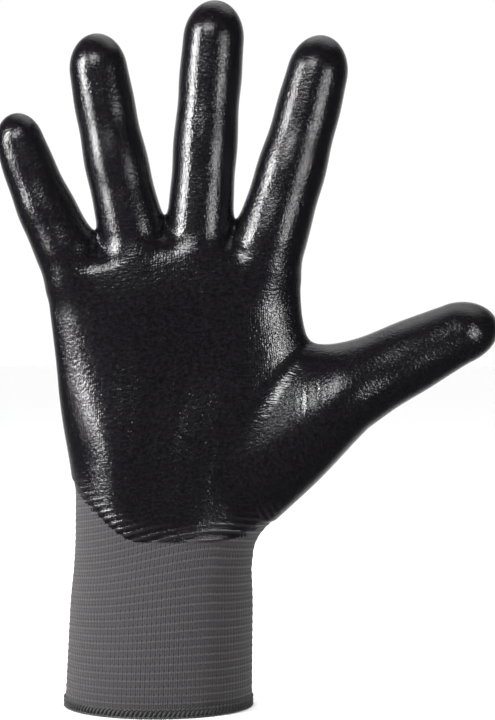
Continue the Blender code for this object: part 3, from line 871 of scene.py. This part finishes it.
def knit_material(name, elastic):
    """Grey knit, with painted shade where its stitch relief is low. With elastic, light elastic courses
    cross it, and the holes beside them are painted near-black as shade.
    """
    n = Nodes(name)
    vector, u, v, _ = n.knit()
    height = stitch_height(n, u, v, COURSE / 2)
    mottle = n.noise(vector, 90.0)
    fuzz = n.noise(vector, 2600.0, 2.0)
    # Painted shade: the knit is coloured darker where its stitch relief is low, between the legs and the
    # rows.
    colour = n.mix(height, (0.019, 0.0175, 0.019), (0.034, 0.031, 0.0335))
    colour = n.mix(n.ramp(mottle, 0.35, 0.65), colour, n.mix(0.5, colour, (0.028, 0.0255, 0.0275)))
    if elastic:
        line = n.math("POWER", n.wave(v, COURSE, pi / 2), 7.0)
        beside = n.math("POWER", n.wave(v, COURSE, pi / 2 - 1.15), 6.0)
        gap = n.math("POWER", n.wave(u, WALE, -pi / 2), 2.0)
        shaded_holes = n.math("MULTIPLY", beside, gap)
        # Painted shade: the holes beside each elastic course are coloured near-black, as if shadowed
        # inside.
        colour = n.mix(n.math("MULTIPLY", shaded_holes, 0.9), colour, (0.006, 0.0055, 0.006))
        colour = n.mix(n.math("MULTIPLY", line, 0.55), colour, (0.066, 0.061, 0.064))
        height = n.math("ADD", height, n.math("SUBTRACT", line, shaded_holes))
    n.feed(n.shader.inputs["Base Color"], colour)
    n.shader.inputs["Roughness"].default_value = 0.85
    n.shader.inputs["Sheen Weight"].default_value = 0.15
    n.shader.inputs["Sheen Roughness"].default_value = 0.4
    rough = n.math("ADD", height, n.math("MULTIPLY", fuzz, 0.5))
    n.feed(n.shader.inputs["Normal"], n.bump(rough, 0.25 * MM, 0.8))
    return n.material


def coating_material():
    """Black dipped coating: semi-gloss, with the knit's relief showing through, thin at its edge."""
    n = Nodes("black_coating")
    vector, u, v, inside = n.knit()
    knit = stitch_height(n, u, v, COURSE / 2.4)
    grain = n.noise(vector, 900.0, 2.0, 0.7)
    patches = n.noise(vector, 1000.0, 3.0)
    thin = n.math("SUBTRACT", 1.0, n.ramp(inside, 0.0, THIN_COAT))
    stripes = n.wave(v, COURSE, pi / 2)
    edge = n.math("MULTIPLY", thin, n.math("POWER", stripes, 2.0))
    colour = n.mix(n.ramp(patches, 0.35, 0.7), (0.0016, 0.0014, 0.0020), (0.0052, 0.0046, 0.0060))
    colour = n.mix(n.math("MULTIPLY", edge, 0.5), colour, (0.030, 0.027, 0.030))
    n.feed(n.shader.inputs["Base Color"], colour)
    rough = n.math("ADD", n.math("MULTIPLY", patches, 0.12), 0.11)
    n.feed(n.shader.inputs["Roughness"], rough)
    n.shader.inputs["Specular IOR Level"].default_value = 0.38
    share = n.math("ADD", n.math("MULTIPLY", thin, 0.4), 0.12)
    height = n.math("ADD", n.math("MULTIPLY", knit, share), n.math("MULTIPLY", grain, 1.1))
    height = n.math("ADD", height, n.math("MULTIPLY", edge, 1.2))
    n.feed(n.shader.inputs["Normal"], n.bump(height, 0.17 * MM, 0.8))
    return n.material


def thread_material(name, dark, light, roughness):
    """Twisted thread: a fine slanted ply along each strand."""
    n = Nodes(name)
    place = n.add("ShaderNodeTexCoord").outputs["Object"]
    ply = n.noise(place, 2200.0, 3.0)
    n.feed(n.shader.inputs["Base Color"], n.mix(ply, dark, light))
    n.shader.inputs["Roughness"].default_value = roughness
    n.shader.inputs["Sheen Weight"].default_value = 0.2
    n.feed(n.shader.inputs["Normal"], n.bump(ply, 0.1 * MM, 0.7))
    return n.material


# ---------------------------------------------------------------- studio
def build_studio():
    """A pale floor, and a room that is bright behind the glove and dim in front of it.

    The room and floor look white to the camera. The floor and the overhead light are kept out of
    reflections, so that the black coating mirrors only the softboxes and the room.
    """
    scene = bpy.context.scene
    world = bpy.data.worlds.new("studio")
    scene.world = world
    world.use_nodes = True
    tree = world.node_tree
    background = tree.nodes["Background"]
    place = tree.nodes.new("ShaderNodeTexCoord")
    split = tree.nodes.new("ShaderNodeSeparateXYZ")
    tree.links.new(place.outputs["Generated"], split.inputs[0])
    shade = tree.nodes.new("ShaderNodeMapRange")
    shade.interpolation_type = "SMOOTHSTEP"
    tree.links.new(split.outputs["Y"], shade.inputs["Value"])
    for name, value in (("From Min", 0.40), ("From Max", 0.98), ("To Min", 0.06), ("To Max", 1.0)):
        shade.inputs[name].default_value = value
    seen = tree.nodes.new("ShaderNodeMath")
    seen.operation = "MAXIMUM"
    tree.links.new(shade.outputs["Result"], seen.inputs[0])
    tree.links.new(tree.nodes.new("ShaderNodeLightPath").outputs["Is Camera Ray"], seen.inputs[1])
    tree.links.new(seen.outputs[0], background.inputs["Strength"])
    background.inputs["Color"].default_value = (1.0, 1.0, 1.0, 1.0)
    bpy.ops.mesh.primitive_plane_add(size=FLOOR_SIZE, location=(0, 0, CAD_LOW[2] - 0.0001))
    floor = bpy.context.object
    floor.name = "floor"
    n = Nodes("pale_floor")
    n.shader.inputs["Base Color"].default_value = (0.93, 0.93, 0.93, 1.0)
    n.shader.inputs["Roughness"].default_value = 0.9
    n.shader.inputs["Specular IOR Level"].default_value = 0.1
    floor.data.materials.append(n.material)
    floor.visible_glossy = False
    floor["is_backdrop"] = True
    middle = Vector(((CAD_LOW + CAD_HIGH) / 2).tolist())
    for name, spot, size, power in SOFTBOXES:
        data = bpy.data.lights.new(name, "AREA")
        data.shape = "RECTANGLE"
        data.size, data.size_y = size
        data.energy = power
        lamp = bpy.data.objects.new(name, data)
        lamp.location = spot
        lamp.rotation_euler = (middle - Vector(spot)).to_track_quat("-Z", "Y").to_euler()
        scene.collection.objects.link(lamp)
    sky = bpy.data.lights.new("overhead", "SUN")
    sky.energy = SUN_POWER
    sky.angle = radians(SUN_WIDTH)
    overhead = bpy.data.objects.new("overhead", sky)
    overhead.rotation_euler = Vector((-0.1, -0.45, -1.0)).to_track_quat("-Z", "Z").to_euler()
    overhead.visible_glossy = False
    scene.collection.objects.link(overhead)
    scene.view_settings.view_transform = "Standard"


def build_camera():
    """A level camera in front of the palm."""
    data = bpy.data.cameras.new("camera")
    camera = bpy.data.objects.new("camera", data)
    bpy.context.scene.collection.objects.link(camera)
    height = CAD_HIGH[2] - CAD_LOW[2]
    across = CAD_LOW[0] / 2 + CAD_HIGH[0] / 2 + CAMERA_SIDE
    camera.location = (across, -CAMERA_DISTANCE, CAMERA_LEVEL * height)
    camera.rotation_euler = (radians(90), 0, 0)
    data.sensor_fit = "VERTICAL"
    data.angle = 2 * atan2(HALF_FRAME * height, CAMERA_DISTANCE)
    bpy.context.scene.camera = camera


LINER = knit_material("liner_knit", False)
CUFF = knit_material("cuff_knit", True)
COATING = coating_material()
THREAD = thread_material("overlock_thread", (0.006, 0.006, 0.007), (0.03, 0.028, 0.03), 0.7)
ELASTIC = thread_material("elastic_yarn", (0.2, 0.19, 0.19), (0.34, 0.33, 0.33), 0.7)

build_camera()
build_studio()
set_cuts()
grow_skin()
build_cuff()
build_hem()
build_elastic()
